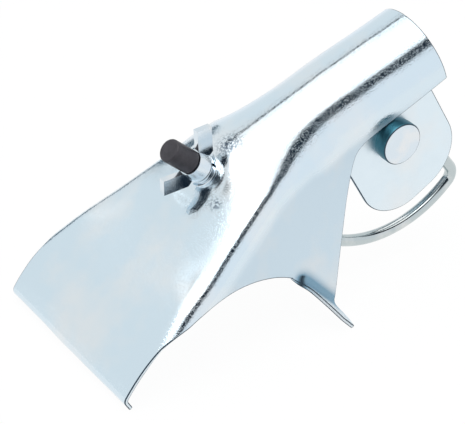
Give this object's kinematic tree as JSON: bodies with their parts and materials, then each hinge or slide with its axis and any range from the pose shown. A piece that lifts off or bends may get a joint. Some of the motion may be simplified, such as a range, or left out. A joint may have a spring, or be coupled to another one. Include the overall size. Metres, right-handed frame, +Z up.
{
  "type": "coupler clamp",
  "caption": "Pressed zinc-plated steel shroud running from a round arch to a flared tongue, with a wing-nut clamp bolt, cheek plates, cross pin and hanging wire bail.",
  "frame": {"origin": "middle of the bounding box, on the floor that the front lip and the two feet stand on", "axes": "+X toward the open end of the arch, +Z up, the bail hangs on the -Y side"},
  "size_m": [0.2253, 0.113, 0.1365],
  "materials": {
    "zinc_sheet": "bright zinc plate on pressed sheet",
    "zinc_hardware": "bright zinc plate on turned and cast pieces",
    "zinc_wire": "bright zinc plate on drawn wire",
    "inner_steel": "satin zinc plate",
    "cap_plastic": "soft black vinyl"
  },
  "bodies": {
    "shroud_body": {"shroud": "zinc_sheet", "cheek_plate_near": "zinc_sheet", "cheek_plate_far": "zinc_sheet", "cross_pin": "zinc_hardware", "pin_cap_far": "zinc_hardware", "bail_bush": "inner_steel", "guide_washer": "inner_steel", "spacer_far": "inner_steel", "flat_washer": "zinc_hardware", "spring_washer": "zinc_hardware"},
    "nut": {"wing_nut": "zinc_hardware"},
    "bolt": {"clamp_bolt": "inner_steel", "bolt_cap": "cap_plastic", "clamp_saddle": "inner_steel", "saddle_washer": "inner_steel"},
    "bail": {"bail": "zinc_wire"}
  },
  "joints": [
    {"name": "wing_nut_turn", "type": "hinge", "parent": "shroud_body", "child": "nut", "pos_m": [-0.03466, 0, 0.08153], "axis": [0.7604, 0, -0.6494], "range_deg": [0, 1440.1]},
    {"name": "clamp_draw", "type": "slide", "parent": "shroud_body", "child": "bolt", "axis": [-0.7604, 0, 0.6494], "range_m": [0, 0.006]},
    {"name": "bail_swing", "type": "hinge", "parent": "shroud_body", "child": "bail", "pos_m": [0.063, -0.0183, 0.08259], "axis": [0, -1, 0], "range_deg": [-20, 60]}
  ],
  "couplings": [
    {"joint": "wing_nut_turn", "follows": "clamp_draw", "rad_per_m": 4188.8}
  ]
}
